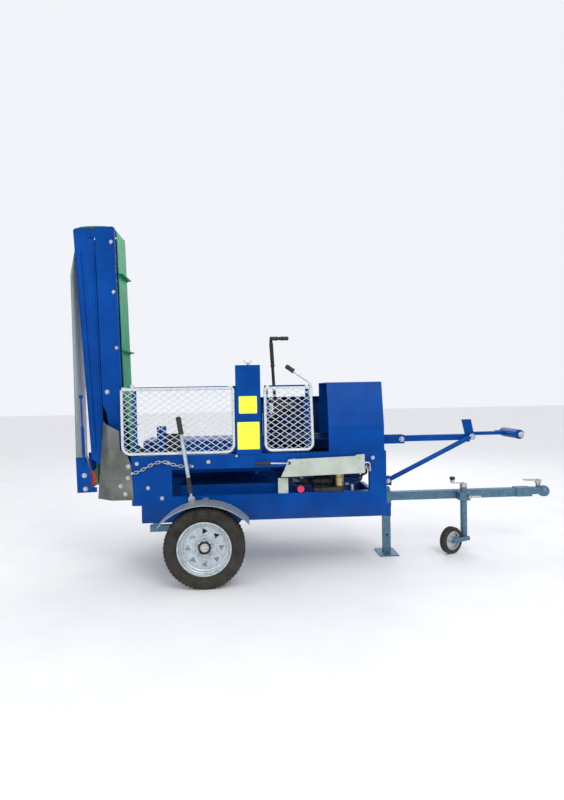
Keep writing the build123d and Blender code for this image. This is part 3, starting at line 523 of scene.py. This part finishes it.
def rounded(path):
    """Corner cutting in three rounds that keeps the end points."""
    for _ in range(3):
        finer = [path[0]]
        for (ax, az), (bx, bz) in zip(path, path[1:]):
            finer += [(ax * 0.75 + bx * 0.25, az * 0.75 + bz * 0.25),
                      (ax * 0.25 + bx * 0.75, az * 0.25 + bz * 0.75)]
        path = finer + [path[-1]]
    return path


def drum_arc(x, z):
    """The belt's half turn under a drum, from left to right."""
    steps = 16
    return [(x - DRUM_RADIUS * math.cos(math.pi * i / steps), z - DRUM_RADIUS * math.sin(math.pi * i / steps))
            for i in range(steps + 1)]


def belt_band(name, body, path, outward, node=None):
    """A belt: green cover on the outward side, woven backing on the other, over the drum's width."""
    path = [leaned(x, z) for x, z in path]
    verts, faces, backing = [], [], []
    for i, (x, z) in enumerate(path):
        ax, az = path[max(i - 1, 0)]
        bx, bz = path[min(i + 1, len(path) - 1)]
        length = math.hypot(bx - ax, bz - az)
        nx, nz = outward * (bz - az) / length, -outward * (bx - ax) / length
        for y in BELT_EDGES:
            verts += [(x + nx * BELT_HALF, y, z + nz * BELT_HALF), (x - nx * BELT_HALF, y, z - nz * BELT_HALF)]
    for i in range(len(path) - 1):
        a, b = i * 4, i * 4 + 4
        faces += [(a, b, b + 2, a + 2), (a + 1, a + 3, b + 3, b + 1), (a, a + 1, b + 1, b),
                  (a + 2, b + 2, b + 3, a + 3)]
        backing.append(len(faces) - 3)
    last = (len(path) - 1) * 4
    faces += [(0, 2, 3, 1), (last, last + 1, last + 3, last + 2)]
    band = piece(name, verts, faces, body, "belt_pvc", 40.0)
    band.data.materials.append(FINISHES["belt_fabric"])
    for index in backing:
        band.data.polygons[index].material_index = 1
    if node:
        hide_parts(node)
    return band


def folded_strips(shape, low, high, section, reach):
    """A bent sheet strip on each side of the conveyor, reach from its middle plane, between two of its points.

    The section is (across, proud) pairs from the strip's centre line.
    """
    (lx, lz), (hx, hz) = leaned(*low), leaned(*high)
    length = math.hypot(hx - lx, hz - lz)
    sx, sz = (hz - lz) / length, -(hx - lx) / length
    count = len(section)
    faces = [(i, i + 1, count + i + 1, count + i) for i in range(count - 1)]
    faces += [(0, count, 2 * count - 1, count - 1), tuple(reversed(range(count))), tuple(range(count, 2 * count))]
    for out in (-1, 1):
        shape.add([(x + sx * across, CONVEYOR_Y + out * (reach + proud), z + sz * across)
                   for x, z in ((lx, lz), (hx, hz)) for across, proud in section], faces)


def conveyor_stiffeners():
    """Bent lips on the lower half's side plates and pressed ribs on the folded half's."""
    lips, ribs = Shape(), Shape()
    folded_strips(lips, (-1.600, 1.450), (-1.600, 2.630),
                  [(-0.014, 0.0), (-0.011, 0.003), (0.008, 0.012), (0.013, 0.012), (0.014, 0.0)], 0.1802)
    folded_strips(ribs, (-1.8155, 1.000), (-1.8620, 2.480),
                  [(-0.020, 0.0), (-0.013, 0.010), (0.013, 0.010), (0.020, 0.0)], 0.1732)
    folded_strips(ribs, (-1.7620, 0.900), (-1.7620, 2.480),
                  [(-0.010, 0.0), (-0.006, 0.006), (0.006, 0.006), (0.010, 0.0)], 0.1732)
    lips.make("lower_plate_lips", "lower_conveyor", "blue_paint", 20.0)
    ribs.make("upper_plate_ribs", "upper_conveyor", "blue_paint", 20.0)


def wedge_lever_boot():
    boot = Shape()
    boot.lathe((-1.0800, LEVER_Y, 0.643), (-0.067, 0, 0.480),
               [(0.0, 0.0175), (0.004, 0.0195), (0.010, 0.0180), (0.100, 0.0165), (0.108, 0.0185), (0.116, 0.0185),
                (0.120, 0.0150)], 28)
    boot.make("wedge_lever_boot", "wedge_lever", "black_grip", 40.0)


def belts():
    fold_start, fold_end = (-1.5785, 2.541), (-1.8885, 2.521)
    lower = [(-1.5785, 2.540), (-1.5785, 1.440)] + drum_arc(TAIL_X, TAIL_Z)[::-1]
    lower += [(-1.7025, 1.440), (-1.7025, 2.500)]
    upper = [(-1.8885, 2.520), (-1.9355, 2.300), (-1.9475, 1.500), (-1.9595, 0.900)] + drum_arc(-1.865, 0.735)
    upper += [(-1.8055, 1.200), (-1.8055, 2.400)]
    fold = rounded([fold_start, (-1.5785, 2.629), (-1.613, 2.6655), (-1.849, 2.6695), (-1.887, 2.639), fold_end])
    belt_band("lower_belt_band", "lower_conveyor", lower, -1, "lower_belt")
    belt_band("upper_belt_band", "upper_conveyor", upper, 1, "upper_belt")
    bridge = belt_band("fold_belt_band", None, fold, 1, "fold_belt")
    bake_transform(bridge)
    cleats = Shape()
    for x, z in ((-1.562, 1.127), (-1.577, 1.714), (-1.577, 2.301)):
        ax, az = leaned(x, z)
        bx, bz = leaned(x + 0.036, z)
        cleats.bar((ax, CONVEYOR_Y, az), (bx, CONVEYOR_Y, bz), 0.008, 0.296)
        bx, bz = leaned(x + 0.010, z)
        cleats.bar((ax - 0.001, CONVEYOR_Y, az), (bx, CONVEYOR_Y, bz), 0.020, 0.292)
        bx, bz = leaned(x + 0.020, z - 0.004)
        for y in (-0.30, -0.20, -0.10):
            cleats.lathe((bx, y, bz), DOWN, [(0.0, 0.007), (0.003, 0.006), (0.004, 0.003)], 12)
    cleats.make("belt_cleats", "lower_conveyor", "belt_pvc")


def plate(shape, x0, x1, z0, z1, y, thick=0.0012, corner=0.006):
    """A thin plate with rounded corners on a near face."""
    rim = []
    for cx, cz, first in ((x1 - corner, z1 - corner, 0), (x0 + corner, z1 - corner, 90),
                          (x0 + corner, z0 + corner, 180), (x1 - corner, z0 + corner, 270)):
        for step in range(5):
            angle = math.radians(first + step * 22.5)
            rim.append((cx + corner * math.cos(angle), cz + corner * math.sin(angle)))
    count = len(rim)
    verts = [(x, y, z) for x, z in rim] + [(x, y - thick, z) for x, z in rim]
    faces = [tuple(range(count)), tuple(reversed(range(count, 2 * count)))]
    faces += [(i, count + i, count + (i + 1) % count, (i + 1) % count) for i in range(count)]
    shape.add(verts, faces)


def post_plates():
    yellow, rivets = Shape(), Shape()
    inset = 0.009
    for x0, x1, z0, z1 in POST_PLATES:
        plate(yellow, x0, x1, z0, z1, POST_FACE)
        for x in (x0 + inset, x1 - inset):
            for z in (z0 + inset, z1 - inset):
                rivets.lathe((x, POST_FACE - 0.001, z), NEAR,
                             [(0.0, 0.0034), (0.0008, 0.0032), (0.0015, 0.0018)], 12)
    yellow.make("post_plates", "frame", "yellow_plate", 20.0, slot="steel")
    rivets.make("post_plate_rivets", "frame", "steel")


def saw_skirt():
    """Closes the slot between the deck and the saw's rear panel."""
    skirt = Shape()
    skirt.bar((-0.540, 0.4265, 0.951), (0.120, 0.4265, 0.951), 0.067, 0.002)
    skirt.bar((-0.540, 0.4200, 0.9185), (0.120, 0.4200, 0.9185), 0.0025, 0.014)
    # The skirt's darker blue is painted shade for the slot under the deck.
    skirt.make("saw_skirt", "frame", "painted_shade_blue", 20.0, slot="blue_paint")


def deck_plate():
    """Sheet over the gearbox bay, let in between the deck beams."""
    deck = Shape()
    for y, z, wide, thick in ((0.235, 0.914, 0.388, 0.003), (0.046, 0.905, 0.003, 0.018)):
        deck.bar((DECK_X[0], y, z), (DECK_X[1], y, z), wide, thick, up=UP)
    deck.make("gearbox_deck", "frame", "blue_paint", 20.0)
    screws = Shape()
    for x in (-0.24, -0.04, 0.16, 0.35):
        for y in (0.066, 0.405):
            bolt(screws, (x, y, 0.9155), UP, 0.013, 0.006)
    screws.make("gearbox_deck_bolts", "frame", "steel")


def socket_tube():
    """The hollow square socket for a rear stand, under the near beam."""
    tube = Shape()
    start, end = SOCKET_X
    for z in (0.3945, 0.3525):
        tube.bar((start, SOCKET_Y, z), (end, SOCKET_Y, z), 0.045, 0.004, up=UP)
    for y in (-0.498, -0.457):
        tube.bar((start, y, 0.3735), (end, y, 0.3735), 0.0385, 0.004)
    for x in (-1.350, -1.190):
        tube.bar((x - 0.02, SOCKET_Y, 0.4058), (x + 0.02, SOCKET_Y, 0.4058), 0.045, 0.0195, up=UP)
    tube.make("rear_socket_tube", "frame", "towbar_zinc", 20.0, slot="galvanised")


def valve_details():
    """The steel pipe at the valve's right end with its nuts, and the rubber boot on its lever."""
    hose_set("valve_pipe", "frame", "steel", [
        ([(0.229, -0.524, 0.832), (0.262, -0.524, 0.834), (0.274, -0.524, 0.820), (0.272, -0.524, 0.772)], 0.0060)])
    ends = Shape()
    for place, along, high in (((0.2285, -0.524, 0.832), (1, 0, 0), 0.010), ((0.272, -0.524, 0.768), UP, 0.012)):
        ends.lathe(place, along,
                   [(0.0, 0.0095), (high, 0.0095), (high + 0.0005, 0.0075), (high + 0.004, 0.0070)], 6)
    ends.make("valve_pipe_nuts", "frame", "steel")
    boot = Shape()
    boot.lathe((-0.345, -0.5452, 0.845), NEAR,
               [(0.0, 0.0110), (0.002, 0.0115), (0.004, 0.0095), (0.006, 0.0100), (0.008, 0.0080),
                (0.0095, 0.0070)], 24)
    boot.make("valve_lever_boot", "valve_lever", "black_grip", 50.0)


def fasteners():
    plates = Shape()
    bolt_pairs(plates, ((-1.653, 2.537), (-1.642, 2.159), (-1.629, 1.735), (-1.711, 1.402)), 0.1803, 0.022, 0.010)
    plates.make("lower_conveyor_bolts", "lower_conveyor", "steel")
    head = Shape()
    bolt_pairs(head, ((-1.897, 0.769), (-1.890, 0.666)), 0.1793, 0.024, 0.011)
    head.make("head_bracket_bolts", "upper_conveyor", "steel")
    body = Shape()
    bolts(body, ((-1.541, 0.845), (-1.567, 0.641), (-1.60, 0.700), (-1.545, 0.760)), -0.5053, NEAR, 0.021, 0.010)
    bolts(body, ((-1.48, 0.864), (-1.25, 0.864), (-0.95, 0.864), (0.30, 0.864), (-1.40, 0.68), (-1.30, 0.60)),
          -0.5003, NEAR, 0.019, 0.009)
    bolts(body, ((-1.48, 0.864), (-1.10, 0.864), (-0.70, 0.864), (-0.30, 0.864), (0.34, 0.864), (0.34, 0.65),
                 (-1.48, 0.48), (-1.40, 0.68), (0.34, 0.48)), 0.5003, FAR, 0.019, 0.009)
    body.make("body_bolts", "frame", "steel")


def nuts_on_wheels():
    """The rims' wells, the swage and hub ring on each disc, and five wheel nuts with their washers."""
    for side, out in (("near", -1), ("far", 1)):
        y = out * WHEEL_FACE
        body = side + "_wheel"
        well = Shape()
        revolve(well, y, out,
                [(0.001, 0.150), (0.006, 0.153), (0.010, 0.158), (0.012, 0.165), (0.026, 0.168), (0.030, 0.174),
                 (0.046, 0.177), (0.048, 0.1795), (0.044, 0.1805), (0.001, 0.1805)])
        well.make(side + "_rim_well", body, "galvanised", 25.0)
        boss = Shape()
        revolve(boss, y, out,
                [(0.0004, 0.0345), (0.012, 0.0345), (0.018, 0.038), (0.018, 0.044), (0.010, 0.046),
                 (0.0004, 0.046)])
        boss.make(side + "_hub_ring", body, "dark_steel", 30.0)
        dish = Shape()
        revolve(dish, y, out,
                [(0.0004, 0.070), (0.007, 0.072), (0.0085, 0.078), (0.007, 0.084), (0.0004, 0.086)])
        dish.make(side + "_disc_swage", body, "galvanised", 30.0)
        nuts = Shape()
        circle = 0.055
        for step in range(5):
            angle = math.radians(90 + 72 * step)
            place = (WHEEL_X + circle * math.cos(angle), y, WHEEL_Z + circle * math.sin(angle))
            nuts.lathe(place, (0, out, 0), [(0.0, 0.0125), (0.004, 0.0125), (0.0045, 0.0105)], 24)
            nuts.lathe(place, (0, out, 0), [(0.003, 0.0115), (0.016, 0.0115), (0.021, 0.008), (0.0215, 0.003)], 6)
        nuts.make(side + "_wheel_nuts", body, "steel")


def hose_set(name, body, finish, routes):
    """Held hoses from port to port, each a smooth spline given as (points, radius)."""
    radius = routes[0][1]
    curve = bpy.data.curves.new(name, "CURVE")
    curve.dimensions = "3D"
    curve.bevel_depth = radius
    curve.bevel_resolution = 5
    curve.resolution_u = 10
    curve.use_fill_caps = True
    for points, reach in routes:
        spline = curve.splines.new("NURBS")
        spline.points.add(len(points) - 1)
        for point, place in zip(spline.points, points):
            point.co = (*place, 1.0)
            point.radius = reach / radius
        spline.order_u = 3
        spline.use_endpoint_u = True
    thing = scene_object(name, curve)
    curve.materials.append(FINISHES[finish])
    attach(thing, body)


def hydraulic_fittings():
    pump_hoses()
    hose_ferrules()
    filter_canister()
    pump_body()
    filter_bracket()


def pump_hoses():
    hose_set("pump_hoses", "frame", "black_grip", [
        ([(-0.315, -0.40, 0.790), (-0.315, -0.405, 0.755), (-0.345, -0.425, 0.705), (-0.300, -0.43, 0.650),
          (-0.215, -0.43, 0.648), (-0.175, -0.385, 0.655), (-0.160, -0.345, 0.655)], 0.0085),
        ([(-0.268, -0.40, 0.790), (-0.268, -0.405, 0.755), (-0.262, -0.43, 0.700), (-0.205, -0.43, 0.690),
          (-0.175, -0.385, 0.690), (-0.160, -0.345, 0.690)], 0.0085),
        ([(-0.185, -0.40, 0.790), (-0.185, -0.405, 0.760), (-0.182, -0.43, 0.722), (-0.140, -0.43, 0.718),
          (-0.120, -0.345, 0.715)], 0.0075),
        ([(0.225, -0.44, 0.790), (0.225, -0.44, 0.750), (0.225, -0.44, 0.690), (0.180, -0.43, 0.660),
          (0.110, -0.42, 0.660)], 0.0085)])


def hose_ferrules():
    """Crimped hose ends under the valve, one beside the filter, and a fitting on the beam below."""
    steel = Shape()
    for place, along in (((-0.315, -0.40, 0.792), (-0.05, -0.1, -1)), ((-0.268, -0.40, 0.792), (0, -0.1, -1)),
                         ((-0.185, -0.40, 0.792), (0, -0.1, -1)), ((-0.300, -0.395, 0.791), DOWN),
                         ((-0.240, -0.395, 0.791), DOWN), ((-0.110, -0.395, 0.791), DOWN),
                         ((0.262, -0.44, 0.802), DOWN), ((0.225, -0.44, 0.802), DOWN)):
        steel.lathe(place, along,
                    [(0.0, 0.0145), (0.010, 0.0145), (0.0101, 0.0125), (0.030, 0.0115), (0.032, 0.0098)], 6)
    steel.lathe((0.098, -0.42, 0.660), (1, 0, 0),
                [(0.0, 0.013), (0.012, 0.013), (0.0125, 0.0115), (0.030, 0.011)], 6)
    steel.lathe((0.150, -0.438, 0.6105), UP,
                [(0.0, 0.014), (0.012, 0.014), (0.013, 0.009), (0.030, 0.009), (0.031, 0.013), (0.043, 0.013),
                 (0.044, 0.006)], 20)
    steel.make("hose_ferrules", "frame", "steel")


def filter_canister():
    brass = Shape()
    brass.lathe((FILTER_X, FILTER_Y, 0.6415), UP,
                [(0.0, 0.030), (0.006, 0.030), (0.0065, 0.034), (0.070, 0.034), (0.074, 0.031), (0.078, 0.031),
                 (0.079, 0.035), (0.094, 0.035), (0.098, 0.030), (0.099, 0.012)], 40)
    circle = 0.024
    for step in range(6):
        angle = math.radians(60 * step + 15)
        brass.lathe((FILTER_X + circle * math.cos(angle), FILTER_Y + circle * math.sin(angle), 0.7400), UP,
                    [(0.0, 0.005), (0.005, 0.005), (0.0055, 0.003)], 6)
    brass.make("filter_canister", "frame", "brass", slot="steel")


def pump_body():
    """A flanged gear pump with two circles of screws, on its foot."""
    pump = Shape()
    pump.lathe((-0.150, PUMP_Y, PUMP_Z), (1, 0, 0),
               [(0.0, 0.030), (0.012, 0.030), (0.0125, 0.040), (0.022, 0.040), (0.0225, 0.034), (0.060, 0.034),
                (0.0605, 0.041), (0.074, 0.041), (0.0745, 0.034), (0.112, 0.034), (0.1125, 0.040), (0.124, 0.040),
                (0.1245, 0.020), (0.142, 0.018)], 36)
    circle = 0.0365
    for x in (-0.138, -0.087):
        for step in range(6):
            angle = math.radians(60 * step)
            pump.lathe((x, PUMP_Y + circle * math.cos(angle), PUMP_Z + circle * math.sin(angle)), (1, 0, 0),
                       [(0.0, 0.004), (0.020, 0.004)], 6)
    pump.bar((-0.145, PUMP_Y, 0.6455), (-0.030, PUMP_Y, 0.6455), 0.05, 0.008, up=UP)
    pump.make("pump_body", "frame", "dark_steel")


def filter_bracket():
    box = Shape()
    flange_y = -0.478
    plate(box, -0.428, -0.352, 0.6105, 0.727, -0.4930, 0.003, 0.008)
    for x in (-0.4265, -0.3535):
        box.bar((x, flange_y, 0.612), (x, flange_y, 0.722), 0.003, 0.030)
    box.bar((-0.427, flange_y, 0.6122), (-0.353, flange_y, 0.6122), 0.003, 0.030)
    box.make("filter_bracket", "frame", "grey_cover", 20.0)
    screws = Shape()
    bolts(screws, ((-0.415, 0.712), (-0.365, 0.712), (-0.365, 0.628)), -0.496, NEAR, 0.010, 0.005)
    bolts(screws, ((-0.372, 0.790), (0.190, 0.790), (0.190, 0.870), (-0.250, 0.845)), -0.5450, NEAR, 0.012, 0.006)
    screws.make("cover_screws", "frame", "steel")


def strut_bolts():
    eye = Shape()
    bolt(eye, (1.176, -0.271, 0.987), NEAR, 0.030, 0.014)
    eye.lathe((1.176, -0.243, 0.987), FAR, [(0.0, 0.017), (0.004, 0.017), (0.005, 0.010), (0.006, 0.004)], 20)
    eye.make("strut_eye_bolt", "infeed_strut", "steel")
    pins = Shape()
    bolt(pins, (0.472, -0.2900, 0.645), NEAR, 0.024, 0.010)
    bolt(pins, (0.602, -0.2360, 0.975), NEAR, 0.028, 0.012)
    pins.make("bracket_pin_heads", "frame", "steel")
    nut = Shape()
    bolt_pairs(nut, ((1.540, 1.002),), 0.1660, 0.030, 0.014)
    nut.make("roller_axle_nuts", "infeed_arm", "steel")


def filler():
    """The filler cap, knurled round its edge, with a bar across its face."""
    cap = Shape()
    cap.lathe((CAP_X, -0.4615, CAP_Z), NEAR,
              [(0.0, 0.024), (0.003, CAP_RADIUS), (0.036, CAP_RADIUS), (0.041, 0.0235), (0.0425, 0.018),
               (0.0425, 0.003)], 48)
    for step in range(24):
        angle = 2 * math.pi * step / 24
        x, z = CAP_X + CAP_RADIUS * math.cos(angle), CAP_Z + CAP_RADIUS * math.sin(angle)
        cap.lathe((x, -0.4645, z), NEAR, [(0.0, 0.0012), (0.002, 0.0018), (0.030, 0.0018), (0.032, 0.0010)], 8)
    cap.bar((CAP_X - 0.018, -0.5045, CAP_Z), (CAP_X + 0.018, -0.5045, CAP_Z), 0.007, 0.004)
    thing = cap.make("filler_cap_knurled", "filler_cap", "red_cap", 30.0)
    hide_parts("filler_cap")


def bevels():
    """Small rounded edges on the sheet metal and castings."""
    skip = {"fold_belt", "lower_belt", "upper_belt", "left_guard_mesh", "right_guard_mesh", "near_wheel_tyre",
            "far_wheel_tyre", "jockey_tyre", "hydraulic_hoses", "safety_chain"}
    for name, node in nodes.items():
        if name in skip:
            continue
        bevel = node.modifiers.new("edge", "BEVEL")
        bevel.width = 0.0018
        bevel.segments = 2
        bevel.limit_method = "ANGLE"
        bevel.angle_limit = math.radians(40)
        bevel.harden_normals = True


make_camera()
make_studio()
dress_cad()
sleeves()
guard_meshes()
tyres()
belts()
conveyor_stiffeners()
wedge_lever_boot()
post_plates()
fasteners()
saw_skirt()
deck_plate()
socket_tube()
valve_details()
nuts_on_wheels()
filler()
hydraulic_fittings()
strut_bolts()
bevels()
